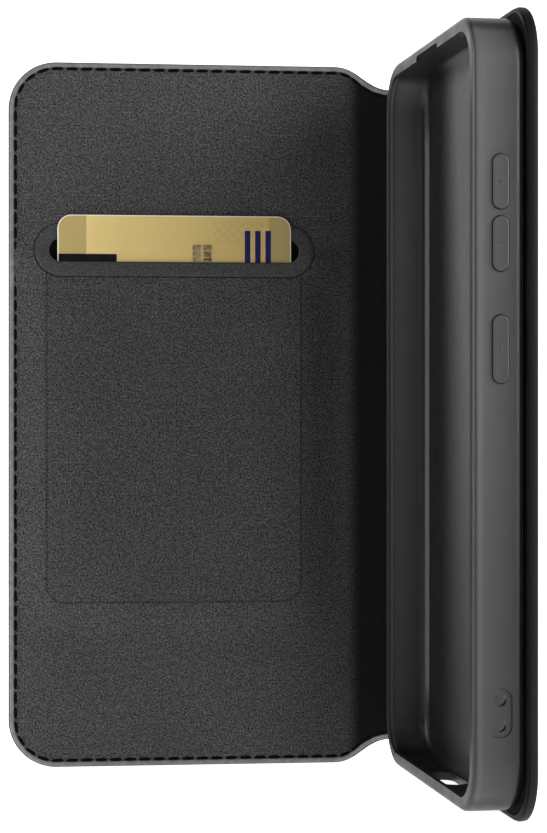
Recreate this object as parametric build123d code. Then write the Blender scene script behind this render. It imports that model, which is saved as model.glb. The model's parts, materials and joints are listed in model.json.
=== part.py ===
from build123d import *
import math
import os

# Frame: the phone tray stands upright, X across the tray, Z up, opening towards -Y.
# The origin is the middle of the face that the phone's back rests on.

# Phone tray, a soft moulded shell
tray_width = 76.6
tray_height = 158.0
tray_depth = 10.5
tray_floor = 1.2
tray_wall = 1.7
tray_corner = 10.5
lip_overhang = 1.1
lip_thickness = 1.0
seat_fillet = 1.8
rim_round = 1.1
back_round = 2.0

# Openings in the tray's ends
earpiece_width = 18.0
earpiece_x = 0.5
port_width = 16.0
port_height = 5.4
port_x = 0.0
speaker_hole_r = 0.65
speaker_pitch = 2.4
speaker_count = 5
speaker_start_x = 11.0
headphone_width = 12.0
headphone_height = 5.2
headphone_x = 20.0
end_opening_y = -4.4

# Camera window through the tray and the back cover
window_width = 27.0
window_height = 13.0
window_corner = 4.5
window_x = 18.0
window_z = 61.0
window_turn_in = 1.6

# Side buttons, one row on the +X wall
button_y = -3.8
button_width = 3.2
button_proud = 0.6
button_travel = 0.35
button_gap = 0.15
flange_margin = 0.4
flange_side_gap = 0.1
flange_thickness = 0.4
flange_gap = 0.05
flange_recess = 0.8
volume_length = 10.8
power_length = 13.4
volume_up_z = 45.4
volume_down_z = 33.3
power_z = 12.7

# Strap eyelet, two holes in line on the +X wall
eyelet_z = -58.3
eyelet_y = -3.8
eyelet_length = 9.8
eyelet_width = 4.8
eyelet_recess = 0.3
strap_hole_r = 1.25
strap_hole_spacing = 5.0

# Cover sheets, outside to inside
leather_thickness = 0.8
board_thickness = 1.0
lining_thickness = 0.5
adhesive_thickness = 0.15
adhesive_margin = 3.0

# Cover outline, laid flat: front panel, spine, back panel
cover_height = 162.5
cover_corner = 11.0
front_width = 80.0
spine_width = 20.0
back_margin = 1.1
fold_offset = 2.4
notch_depth = 5.8
notch_reach = 4.5
hem_width = 3.4
board_gap = 0.15
lining_inset = 0.25
leather_fold_gap = 0.6
board_fold_gap = 2.3

# Pose at rest: how far each fold has opened from shut over the tray
spine_opening = 26.0
flap_opening = 94.0

# Card pocket on the front panel's inside
card_width = 53.98
card_length = 85.6
card_thickness = 0.76
card_corner = 3.18
card_top_z = 46.0
card_clearance = 0.1
card_side_gap = 0.8
chip_width = 12.0
chip_height = 13.0
chip_thickness = 0.05
stripe_width = 10.0
stripe_offset = 5.0
pocket_width = 58.8
pocket_offset = 41.8
pocket_bottom_z = -43.2
pocket_corner = 4.0
slot_z = 37.9
slot_length = 57.8
slot_height = 5.4
bezel_band = 3.7
bezel_thickness = 0.2
pocket_sheet = 0.35

# Closing magnets and the steel plates they pull on
magnet_r = 4.0
magnet_thickness = 0.8
magnet_inset = 9.0
magnet_z = 40.0
keeper_width = 9.0
keeper_length = 20.0
keeper_thickness = 0.6

# Stitching
stitch_inset = 1.6
stitch_pitch = 3.35
stitch_length = 2.7
stitch_width = 0.5
stitch_height = 0.22

# Positions that follow from the sizes
rim_y = tray_floor - tray_depth
cover_inner = tray_floor + adhesive_thickness
cover_stack = leather_thickness + board_thickness + lining_thickness
back_outer_y = cover_inner + cover_stack
lining_start = leather_thickness + board_thickness
fold_depth = leather_thickness / 2
back_width = tray_width / 2 + back_margin + tray_width / 2 + fold_offset
fold_a = (-tray_width / 2 - fold_offset, back_outer_y - fold_depth)
heading_spine = 90.0 - spine_opening
heading_front = 180.0 - flap_opening
fold_b = (
    fold_a[0] - spine_width * math.cos(math.radians(heading_spine)),
    fold_a[1] - spine_width * math.sin(math.radians(heading_spine)),
)
front_end = -spine_width - front_width
spine_middle = -spine_width / 2


def cover_plane(pivot, pivot_u, heading):
    """Plane of a panel's outer face; local x runs along the cover, z points inwards."""
    run = (math.cos(math.radians(heading)), math.sin(math.radians(heading)))
    inward = (run[1], -run[0])
    origin_x = pivot[0] - pivot_u * run[0] - fold_depth * inward[0]
    origin_y = pivot[1] - pivot_u * run[1] - fold_depth * inward[1]
    return Plane(
        origin=(origin_x, origin_y, 0),
        x_dir=(run[0], run[1], 0),
        z_dir=(inward[0], inward[1], 0),
    )


back_plane = cover_plane(fold_a, 0.0, 0.0)
spine_plane = cover_plane(fold_a, 0.0, heading_spine)
front_plane = cover_plane(fold_b, -spine_width, heading_front)


def layer(plane, profile, start, thickness):
    """A flat layer on a plane, from one depth to the next."""
    return extrude(plane.offset(start) * profile, thickness)


def tray_layer(profile, start, thickness):
    """A layer of the tray, measured from the seat face towards the opening."""
    return layer(Plane.XZ, profile, start, thickness)


def wall_plane(y, z):
    """Plane on the tray's +X wall, local x along Y, local y along Z, facing out."""
    return Plane(origin=(tray_width / 2, y, z), x_dir=(0, 1, 0), z_dir=(1, 0, 0))


def stadium(length, width):
    """Upright slot outline with round ends."""
    return SlotOverall(length, width, rotation=90)


def notch(inset, side):
    """Area cut from the top or bottom edge, a soft dip centred on the spine."""
    half = spine_width / 2 + notch_reach
    edge = cover_height / 2 - inset
    low = edge - notch_depth
    past = edge + 5.0
    left = (spine_middle - half, side * edge)
    right = (spine_middle + half, side * edge)
    mid = (spine_middle, side * low)
    bend = half * 0.45
    fall = Bezier(
        left,
        (left[0] + bend, side * edge),
        (mid[0] - bend, side * low),
        mid,
    )
    rise = Bezier(
        mid,
        (mid[0] + bend, side * low),
        (right[0] - bend, side * edge),
        right,
    )
    lid = Polyline(
        right,
        (right[0], side * past),
        (left[0], side * past),
        left,
    )
    return make_face(fall + rise + lid)


def outline(inset):
    """The whole cover laid flat, pulled in from its edge by an inset."""
    width = back_width - front_end - 2 * inset
    middle = (back_width + front_end) / 2
    height = cover_height - 2 * inset
    sheet = Pos(middle, 0) * RectangleRounded(width, height, cover_corner - inset)
    return sheet - notch(inset, 1) - notch(inset, -1)


def strip(left, right):
    """A tall strip of the flat cover between two positions."""
    return Pos((left + right) / 2, 0) * Rectangle(right - left, 2 * cover_height)


def back_strip(gap):
    return strip(gap, back_width + 10)


def spine_strip(gap):
    return strip(-spine_width + gap, -gap)


def front_strip(gap):
    return strip(front_end - 10, -spine_width - gap)


def window(grow):
    """Camera window outline in tray coordinates."""
    outline_width = window_width + 2 * grow
    outline_height = window_height + 2 * grow
    shape = RectangleRounded(outline_width, outline_height, window_corner + grow)
    return Pos(window_x, window_z) * shape


def window_on_cover(grow):
    """Camera window outline in the back panel's own coordinates."""
    return Pos(-fold_a[0], 0) * window(grow)


def button_seat(z, length):
    """Cut for one button: a slot through the wall and a recess behind it."""
    slot = stadium(length + 2 * button_gap, button_width + 2 * button_gap)
    reach = 2 * (flange_margin + flange_side_gap)
    flange = stadium(length + reach, button_width + reach)
    place = wall_plane(button_y, z)
    through = layer(place, slot, -tray_wall - 0.5, tray_wall + 1.0)
    recess = layer(place, flange, -tray_wall - 0.5, 0.5 + flange_recess)
    return through + recess


def button(z, length):
    """A button with a proud head and a flange that holds it behind the wall."""
    place = wall_plane(button_y, z)
    face = tray_wall - flange_recess
    head_start = -(face + flange_gap)
    head = layer(place, stadium(length, button_width), head_start, button_proud - head_start)
    outer_edges = head.faces().sort_by(Axis.X)[-1].edges()
    head = fillet(outer_edges, 0.35)
    flange_outline = stadium(length + 2 * flange_margin, button_width + 2 * flange_margin)
    flange = layer(place, flange_outline, head_start - flange_thickness, flange_thickness)
    return head + flange


def tray_shell():
    """Tray with its seat, overhanging lip, end openings, button seats and eyelet."""
    body = tray_layer(
        RectangleRounded(tray_width, tray_height, tray_corner),
        -tray_floor,
        tray_depth,
    )
    front_edges = body.faces().sort_by(Axis.Y)[0].edges()
    body = fillet(front_edges, rim_round)
    rear_edges = body.faces().sort_by(Axis.Y)[-1].edges()
    body = fillet(rear_edges, back_round)

    inner_width = tray_width - 2 * tray_wall
    inner_height = tray_height - 2 * tray_wall
    inner_corner = tray_corner - tray_wall
    seat_depth = tray_depth - tray_floor - lip_thickness
    seat = tray_layer(
        RectangleRounded(inner_width, inner_height, inner_corner),
        0.0,
        seat_depth,
    )
    floor_edges = seat.faces().sort_by(Axis.Y)[-1].edges()
    seat = fillet(floor_edges, seat_fillet)
    mouth = tray_layer(
        RectangleRounded(
            inner_width - 2 * lip_overhang,
            inner_height - 2 * lip_overhang,
            inner_corner - lip_overhang,
        ),
        seat_depth - 0.1,
        lip_thickness + 1.0,
    )
    body = body - seat - mouth

    ear_z = tray_height / 2 - tray_wall - lip_overhang
    ear = tray_layer(
        Pos(earpiece_x, ear_z) * RectangleRounded(earpiece_width, 2 * lip_overhang, 0.6),
        seat_depth - 0.1,
        lip_thickness + 1.0,
    )
    body = body - ear

    bottom = Plane(
        origin=(0, end_opening_y, -tray_height / 2),
        x_dir=(1, 0, 0),
        z_dir=(0, 0, 1),
    )
    port = Pos(port_x, 0) * SlotOverall(port_width, port_height)
    body = body - layer(bottom, port, -1.0, tray_wall + 2.0)
    for side in (-1, 1):
        for index in range(speaker_count):
            hole_x = side * (speaker_start_x + index * speaker_pitch)
            hole = Pos(hole_x, 0) * Circle(speaker_hole_r)
            body = body - layer(bottom, hole, -1.0, tray_wall + 2.0)

    top = Plane(
        origin=(0, end_opening_y, tray_height / 2),
        x_dir=(1, 0, 0),
        z_dir=(0, 0, 1),
    )
    jack = Pos(headphone_x, 0) * SlotOverall(headphone_width, headphone_height)
    body = body - layer(top, jack, -tray_wall - 1.0, tray_wall + 2.0)

    body = body - tray_layer(window(0.0), -tray_floor - 1.0, tray_floor + 2.0)

    body = body - button_seat(volume_up_z, volume_length)
    body = body - button_seat(volume_down_z, volume_length)
    body = body - button_seat(power_z, power_length)

    eyelet = wall_plane(eyelet_y, eyelet_z)
    recess = stadium(eyelet_length, eyelet_width)
    body = body - layer(eyelet, recess, -eyelet_recess, eyelet_recess + 1.0)
    for side in (-1, 1):
        hole = Pos(0, side * strap_hole_spacing / 2) * Circle(strap_hole_r)
        body = body - layer(eyelet, hole, -tray_wall - 1.0, tray_wall + 2.0)
    return body


def tray_adhesive():
    """Thin bonding sheet between the tray and the back lining."""
    sheet = RectangleRounded(
        tray_width - 2 * adhesive_margin,
        tray_height - 2 * adhesive_margin,
        tray_corner,
    )
    sheet = sheet - window(0.5)
    return tray_layer(sheet, -cover_inner, adhesive_thickness)


def leather_panel(plane, cut, hem_cut):
    """Outer skin of one panel with its turned-in hem round the board."""
    skin = layer(plane, outline(0) & cut, 0, leather_thickness)
    hem = (outline(0) - outline(hem_width)) & hem_cut
    return skin + layer(plane, hem, leather_thickness, board_thickness)


def board_panel(plane, cut):
    """Stiffener of one panel, inside the hem."""
    shape = outline(hem_width + board_gap) & cut
    return layer(plane, shape, leather_thickness, board_thickness)


def lining_panel(plane, cut):
    """Inner cloth of one panel."""
    return layer(plane, outline(lining_inset) & cut, lining_start, lining_thickness)


def magnet_seats(radius):
    """Outlines of the two magnets near the front panel's free edge."""
    seat_u = front_end + magnet_inset
    return Pos(seat_u, magnet_z) * Circle(radius) + Pos(seat_u, -magnet_z) * Circle(radius)


def keeper_seats(grow):
    """Outlines of the two steel plates near the back panel's free edge."""
    seat_u = back_width - magnet_inset
    plate = RectangleRounded(keeper_width + 2 * grow, keeper_length + 2 * grow, 1.5)
    return Pos(seat_u, magnet_z) * plate + Pos(seat_u, -magnet_z) * plate


# Pocket levels above the front panel's lining, outwards towards the card
card_back = lining_start + lining_thickness + bezel_thickness + card_clearance
card_front = card_back + card_thickness
pocket_inner = card_front + card_clearance
pocket_outer = pocket_inner + pocket_sheet
pocket_u = -spine_width - pocket_offset
card_middle_z = card_top_z - card_length / 2


def slot_outline(grow):
    """The card slot's stadium, grown by a band."""
    shape = SlotOverall(slot_length + 2 * grow, slot_height + 2 * grow)
    return Pos(pocket_u, slot_z) * shape


def lower_half():
    """Everything below the card slot's centre line."""
    return Pos(pocket_u, slot_z - cover_height / 2) * Rectangle(2 * front_width, cover_height)


def pocket_outline():
    """Pocket outline from its bottom up to the slot's centre line."""
    height = 2 * (slot_z - pocket_bottom_z)
    shape = RectangleRounded(pocket_width, height, pocket_corner)
    return Pos(pocket_u, slot_z) * shape & lower_half()


def pocket_inside():
    """Room for the card inside the pocket's glued seam."""
    bottom = card_middle_z - card_length / 2 - card_clearance
    height = 2 * (slot_z - bottom)
    shape = RectangleRounded(card_width + 2 * card_side_gap, height, card_corner)
    return Pos(pocket_u, slot_z) * shape & lower_half()


def card_pocket():
    """Raised lining panel over the card, open at the slot."""
    walls = pocket_outline() - pocket_inside()
    base = lining_start + lining_thickness
    frame = layer(front_plane, walls, base, pocket_inner - base)
    sheet = pocket_outline() - slot_outline(0)
    return frame + layer(front_plane, sheet, pocket_inner, pocket_sheet)


def slot_bezel():
    """Oval reinforcing ring: its lower half in front of the card, its upper half behind."""
    ring = slot_outline(bezel_band) - slot_outline(0)
    lower = ring & lower_half()
    upper = ring - lower_half()
    base = lining_start + lining_thickness
    front = layer(front_plane, lower, pocket_outer, bezel_thickness)
    rear = layer(front_plane, upper, base, bezel_thickness)
    tie_band = Pos(pocket_u, slot_z + 0.5) * Rectangle(2 * slot_length, 1.0)
    ties = layer(front_plane, ring & tie_band, base, pocket_outer + bezel_thickness - base)
    return front + rear + ties


def card_outline():
    shape = RectangleRounded(card_width, card_length, card_corner)
    return Pos(pocket_u, card_middle_z) * shape


def chip_outline(grow):
    shape = RectangleRounded(chip_width + 2 * grow, chip_height + 2 * grow, 1.5)
    chip_z = card_middle_z - card_length / 2 + 18.0
    return Pos(pocket_u + 2.0, chip_z) * shape


def stripe_outline():
    stripe_u = pocket_u - card_width / 2 + stripe_offset + stripe_width / 2
    return Pos(stripe_u, card_middle_z) * Rectangle(stripe_width, card_length)


def display_card():
    """Blank plastic card with seats for its contact plate and its stripe."""
    card = layer(front_plane, card_outline(), card_back, card_thickness)
    chip = layer(front_plane, chip_outline(0), card_front - chip_thickness, 1.0)
    stripe = layer(front_plane, stripe_outline(), card_back - 1.0, 1.0 + chip_thickness)
    return card - chip - stripe


def card_chip():
    return layer(front_plane, chip_outline(0), card_front - chip_thickness, chip_thickness)


def card_stripe():
    return layer(front_plane, stripe_outline(), card_back, chip_thickness)


def stitch_marks(left, right):
    """Stitch outlines along the flat cover's edge, between two positions."""
    path = outline(stitch_inset).face().outer_wire()
    count = round(path.length / stitch_pitch)
    marks = []
    for index in range(count):
        spot = path.position_at((index + 0.5) / count)
        if left < spot.X < right:
            run = path.tangent_at((index + 0.5) / count)
            turn = math.degrees(math.atan2(run.Y, run.X))
            mark = SlotOverall(stitch_length, stitch_width)
            marks.append(Pos(spot.X, spot.Y) * Rot(0, 0, turn) * mark)
    return marks


def stitching(plane, left, right, depths):
    """Raised stitches of one panel, on its outer face and where asked its inner face."""
    stitches = []
    for mark in stitch_marks(left, right):
        for start in depths:
            stitches.append(layer(plane, mark, start, stitch_height).solid())
    return Compound(children=stitches)


outer_face = -stitch_height
inner_face = lining_start + lining_thickness
stitch_clear = stitch_length / 2 + 0.3

front_board = board_panel(front_plane, front_strip(board_fold_gap))
magnet_cut = layer(front_plane, magnet_seats(magnet_r + 0.1), leather_thickness + 0.1, 2.0)
front_board = front_board - magnet_cut

back_cut = back_strip(leather_fold_gap) - window_on_cover(0.0)
back_hem_cut = back_strip(board_fold_gap)
back_leather = leather_panel(back_plane, back_cut, back_hem_cut)
window_hem = window_on_cover(window_turn_in) - window_on_cover(0.0)
back_leather = back_leather + layer(back_plane, window_hem, leather_thickness, board_thickness)
board_cut = back_strip(board_fold_gap) - window_on_cover(window_turn_in + board_gap)
back_board = board_panel(back_plane, board_cut)
keeper_depth = lining_start - keeper_thickness
back_board = back_board - layer(back_plane, keeper_seats(0.1), keeper_depth, 2.0)

nodes = {
    "tray_shell": tray_shell(),
    "volume_up_button": button(volume_up_z, volume_length),
    "volume_down_button": button(volume_down_z, volume_length),
    "power_button": button(power_z, power_length),
    "tray_adhesive": tray_adhesive(),
    "back_leather": back_leather,
    "back_board": back_board,
    "back_lining": lining_panel(back_plane, back_strip(board_fold_gap) - window_on_cover(0.0)),
    "back_keepers": layer(back_plane, keeper_seats(0.0), keeper_depth, keeper_thickness),
    "back_stitching": stitching(back_plane, stitch_clear, back_width, [outer_face]),
    "spine_leather": leather_panel(
        spine_plane,
        spine_strip(leather_fold_gap),
        spine_strip(board_fold_gap),
    ),
    "spine_board": board_panel(spine_plane, spine_strip(board_fold_gap)),
    "spine_lining": lining_panel(spine_plane, spine_strip(board_fold_gap)),
    "spine_stitching": stitching(
        spine_plane,
        -spine_width + board_fold_gap + stitch_clear,
        -board_fold_gap - stitch_clear,
        [outer_face, inner_face],
    ),
    "front_leather": leather_panel(
        front_plane,
        front_strip(leather_fold_gap),
        front_strip(board_fold_gap),
    ),
    "front_board": front_board,
    "front_lining": lining_panel(front_plane, front_strip(board_fold_gap)),
    "front_magnets": layer(
        front_plane,
        magnet_seats(magnet_r),
        leather_thickness + 0.1,
        magnet_thickness,
    ),
    "front_stitching": stitching(
        front_plane,
        front_end,
        -spine_width - board_fold_gap - stitch_clear,
        [outer_face, inner_face],
    ),
    "card_pocket": card_pocket(),
    "slot_bezel": slot_bezel(),
    "card_body": display_card(),
    "card_contact_plate": card_chip(),
    "card_stripe": card_stripe(),
}

os.makedirs("parts", exist_ok=True)
for name, solid in nodes.items():
    export_step(solid, f"parts/{name}.step")
    bounds = solid.bounding_box()
    print(name, len(solid.solids()), round(solid.volume, 2), bounds.min, bounds.max)
print("fold at the back panel", fold_a)
print("fold at the front panel", fold_b)
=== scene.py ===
"""Looks of a book-style phone wallet case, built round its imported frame.

The cover is drawn laid flat: u runs along it from the front panel's free edge
to the back panel's, z runs up, and n is the depth in from its outer face. All
flat sizes are in millimetres. CoverPath folds the flat cover into place.
"""

import json
import logging
import math
from collections.abc import Callable, Iterable, Sequence
from dataclasses import dataclass, field
from enum import Enum
from typing import Any

import bmesh
import bpy
from mathutils import Matrix, Vector
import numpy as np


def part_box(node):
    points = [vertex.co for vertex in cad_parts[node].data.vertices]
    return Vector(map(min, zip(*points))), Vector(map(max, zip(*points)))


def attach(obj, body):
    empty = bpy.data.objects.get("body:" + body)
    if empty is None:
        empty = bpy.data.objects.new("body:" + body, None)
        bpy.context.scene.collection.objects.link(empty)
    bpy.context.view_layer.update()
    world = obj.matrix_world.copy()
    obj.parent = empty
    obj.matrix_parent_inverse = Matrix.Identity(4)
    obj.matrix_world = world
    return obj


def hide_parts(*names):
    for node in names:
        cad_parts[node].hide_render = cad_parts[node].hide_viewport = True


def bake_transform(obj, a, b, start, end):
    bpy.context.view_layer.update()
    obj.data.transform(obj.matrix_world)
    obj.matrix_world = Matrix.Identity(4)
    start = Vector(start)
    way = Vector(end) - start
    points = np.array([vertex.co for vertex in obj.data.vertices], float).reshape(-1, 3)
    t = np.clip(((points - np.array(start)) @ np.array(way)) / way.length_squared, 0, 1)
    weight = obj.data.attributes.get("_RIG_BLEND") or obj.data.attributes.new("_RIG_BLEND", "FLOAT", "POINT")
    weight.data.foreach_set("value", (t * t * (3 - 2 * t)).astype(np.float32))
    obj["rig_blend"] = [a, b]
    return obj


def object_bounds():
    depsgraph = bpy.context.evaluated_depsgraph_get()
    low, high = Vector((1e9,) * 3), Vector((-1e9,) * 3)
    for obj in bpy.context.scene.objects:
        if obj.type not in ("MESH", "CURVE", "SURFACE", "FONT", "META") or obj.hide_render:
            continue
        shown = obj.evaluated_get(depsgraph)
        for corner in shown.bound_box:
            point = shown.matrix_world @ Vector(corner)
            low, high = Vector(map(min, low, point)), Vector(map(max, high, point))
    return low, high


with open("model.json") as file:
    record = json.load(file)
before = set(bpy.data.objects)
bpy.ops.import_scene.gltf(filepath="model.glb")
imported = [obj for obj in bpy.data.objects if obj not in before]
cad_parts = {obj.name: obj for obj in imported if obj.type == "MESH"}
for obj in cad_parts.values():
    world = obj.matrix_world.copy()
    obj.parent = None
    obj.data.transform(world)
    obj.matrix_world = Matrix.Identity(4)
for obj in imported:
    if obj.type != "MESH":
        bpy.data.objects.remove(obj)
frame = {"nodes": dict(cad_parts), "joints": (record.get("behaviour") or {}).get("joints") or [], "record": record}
CAD_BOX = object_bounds()

MM = 0.001
UV_MM = 100.0
log = logging.getLogger("wallet_case")

Depth = Callable[[float, float, float], float]
Profile = Sequence[tuple[float, float]]
Colour = tuple[float, float, float]


class Half(Enum):
    """The two halves of the cover, which meet at the middle of the spine."""

    FRONT = "front"
    BACK = "back"


# ---------------------------------------------------------------- small tools


def smooth_step(low: float, high: float, value: float) -> float:
    """A soft step from 0 to 1.

    Args:
        low: Where the step starts.
        high: Where the step ends.
        value: The position.

    Returns:
        The step's height at the position.
    """
    share = min(1.0, max(0.0, (value - low) / (high - low)))
    return share * share * (3.0 - 2.0 * share)


def along_profile(profile: Profile, distance: float) -> float:
    """Reads a section drawn as straight runs between knots.

    Args:
        profile: Pairs of a distance and a height, in rising order.
        distance: The distance to read at.

    Returns:
        The height there, level beyond both ends.
    """
    if distance <= profile[0][0]:
        return profile[0][1]
    for (d0, h0), (d1, h1) in zip(profile, profile[1:]):
        if distance <= d1:
            return h0 + (h1 - h0) * (distance - d0) / (d1 - d0)
    return profile[-1][1]


def spread(low: float, high: float, step: float) -> list[float]:
    """Evenly spaced positions from one value to another.

    Args:
        low: The first position.
        high: The last position.
        step: The spacing wished for.

    Returns:
        The positions, both ends included.
    """
    count = max(1, round((high - low) / step))
    return [low + (high - low) * index / count for index in range(count + 1)]


def thin_out(positions: Iterable[float], gap: float) -> list[float]:
    """Sorts positions and drops any that crowd the one before.

    Args:
        positions: The positions wished for.
        gap: The least spacing kept.

    Returns:
        The sorted positions.
    """
    kept: list[float] = []
    for position in sorted(positions):
        if not kept or position - kept[-1] >= gap:
            kept.append(position)
    return kept


def oblong(
    width: float,
    height: float,
    corner: float,
    segments: int,
    centre: tuple[float, float] = (0.0, 0.0),
) -> bmesh.types.BMesh:
    """One flat face with rounded corners.

    Args:
        width: Size along x.
        height: Size along y.
        corner: Corner radius.
        segments: Steps round each corner.
        centre: Where its middle lies.

    Returns:
        A mesh of one face.
    """
    bm = bmesh.new()
    bmesh.ops.create_grid(bm, x_segments=1, y_segments=1, size=0.5)
    bmesh.ops.scale(bm, vec=(width, height, 1.0), verts=bm.verts)
    bmesh.ops.translate(bm, vec=(centre[0], centre[1], 0.0), verts=bm.verts)
    if corner > 0.0:
        bmesh.ops.bevel(
            bm,
            geom=bm.verts[:],
            offset=min(corner, width / 2 - 1e-4, height / 2 - 1e-4),
            offset_type="OFFSET",
            segments=segments,
            profile=0.5,
            affect="VERTICES",
            material=-1,
        )
        bmesh.ops.remove_doubles(bm, verts=bm.verts[:], dist=1e-3)
    return bm


def score(bm: bmesh.types.BMesh, axis: int, positions: Iterable[float]) -> None:
    """Cuts a flat mesh into strips.

    Args:
        bm: The mesh.
        axis: 0 to cut across x, 1 to cut across y.
        positions: Where the cuts lie.
    """
    normal = Vector((1.0, 0.0, 0.0)) if axis == 0 else Vector((0.0, 1.0, 0.0))
    for position in positions:
        bmesh.ops.bisect_plane(
            bm,
            geom=bm.verts[:] + bm.edges[:] + bm.faces[:],
            dist=1e-5,
            plane_co=normal * position,
            plane_no=normal,
        )


def ring_in(
    bm: bmesh.types.BMesh,
    start: float,
    rings: Sequence[float],
) -> bmesh.types.BMLayerItem:
    """Insets a one-face mesh again and again, and notes how deep each ring lies.

    Args:
        bm: The mesh, one face.
        start: The distance from the true edge at which the face starts.
        rings: Distances of the rings from the true edge, in rising order.

    Returns:
        The vertex layer that holds the distance from the edge.
    """
    layer = bm.verts.layers.float.new("edge")
    face = bm.faces[:][0]
    for vert in bm.verts:
        vert[layer] = start
    before = start
    for distance in rings:
        bmesh.ops.inset_region(
            bm,
            faces=[face],
            thickness=distance - before,
            use_even_offset=True,
            use_boundary=True,
        )
        for vert in face.verts:
            vert[layer] = distance
        before = distance
    return layer


def thicken(bm: bmesh.types.BMesh, top: Depth, bottom: Depth) -> None:
    """Gives a flat sheet its two faces and its edge.

    Args:
        bm: The sheet, with an edge layer.
        top: Depth of the inner face for an edge distance and a place.
        bottom: Depth of the outer face for an edge distance and a place.
    """
    layer = bm.verts.layers.float["edge"]
    raised = bmesh.ops.extrude_face_region(bm, geom=bm.faces[:])
    above = {g for g in raised["geom"] if isinstance(g, bmesh.types.BMVert)}
    for vert in bm.verts:
        depth = top if vert in above else bottom
        vert.co.z = depth(vert[layer], vert.co.x, vert.co.y)


def lay_uv(bm: bmesh.types.BMesh) -> None:
    """Keeps the flat place of every corner as the piece's UV map."""
    uv = bm.loops.layers.uv.new("flat")
    height = bm.verts.layers.float.new("flat_z")
    for vert in bm.verts:
        vert[height] = vert.co.y
    for face in bm.faces:
        for loop in face.loops:
            loop[uv].uv = (loop.vert.co.x / UV_MM, loop.vert.co.y / UV_MM)


def piece(name: str, bm: bmesh.types.BMesh, finish: bpy.types.Material) -> bpy.types.Object:
    """Turns a finished mesh into a smooth-shaded object.

    Args:
        name: The piece's name.
        bm: The mesh in metres, which is freed.
        finish: Its material.

    Returns:
        The object, at the origin.
    """
    bmesh.ops.recalc_face_normals(bm, faces=bm.faces[:])
    for face in bm.faces:
        face.smooth = True
    mesh = bpy.data.meshes.new(name)
    bm.to_mesh(mesh)
    bm.free()
    mesh.materials.append(finish)
    made = bpy.data.objects.new(name, mesh)
    bpy.context.scene.collection.objects.link(made)
    log.info("%s: %d faces", name, len(mesh.polygons))
    return made


def add_bar(
    bm: bmesh.types.BMesh,
    size: tuple[float, float],
    corner: float,
    rings: Sequence[float],
    top: Depth,
    root: float,
) -> list[bmesh.types.BMVert]:
    """Adds one small raised bar, lying flat about the origin.

    Args:
        bm: The mesh that gets the bar.
        size: The bar's size along x and y.
        corner: Its corner radius.
        rings: Distances of its rings from its edge.
        top: Depth of its upper face.
        root: Depth of its lower face.

    Returns:
        The bar's vertices.
    """
    strip = oblong(*size, corner, 3)
    ring_in(strip, 0.0, rings)
    thicken(strip, top, lambda d, u, z: root)
    mesh = bpy.data.meshes.new("bar")
    strip.to_mesh(mesh)
    strip.free()
    known = len(bm.verts)
    bm.from_mesh(mesh)
    bpy.data.meshes.remove(mesh)
    bm.verts.ensure_lookup_table()
    return bm.verts[known:]


def crease(bm: bmesh.types.BMesh, angle: float) -> None:
    """Marks edges sharper than an angle, so that shading breaks there.

    Args:
        bm: The mesh.
        angle: The angle in degrees.
    """
    limit = math.radians(angle)
    for edge in bm.edges:
        if len(edge.link_faces) == 2 and edge.calc_face_angle(0.0) > limit:
            edge.smooth = False


# ------------------------------------------------------------------- finishes


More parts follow.
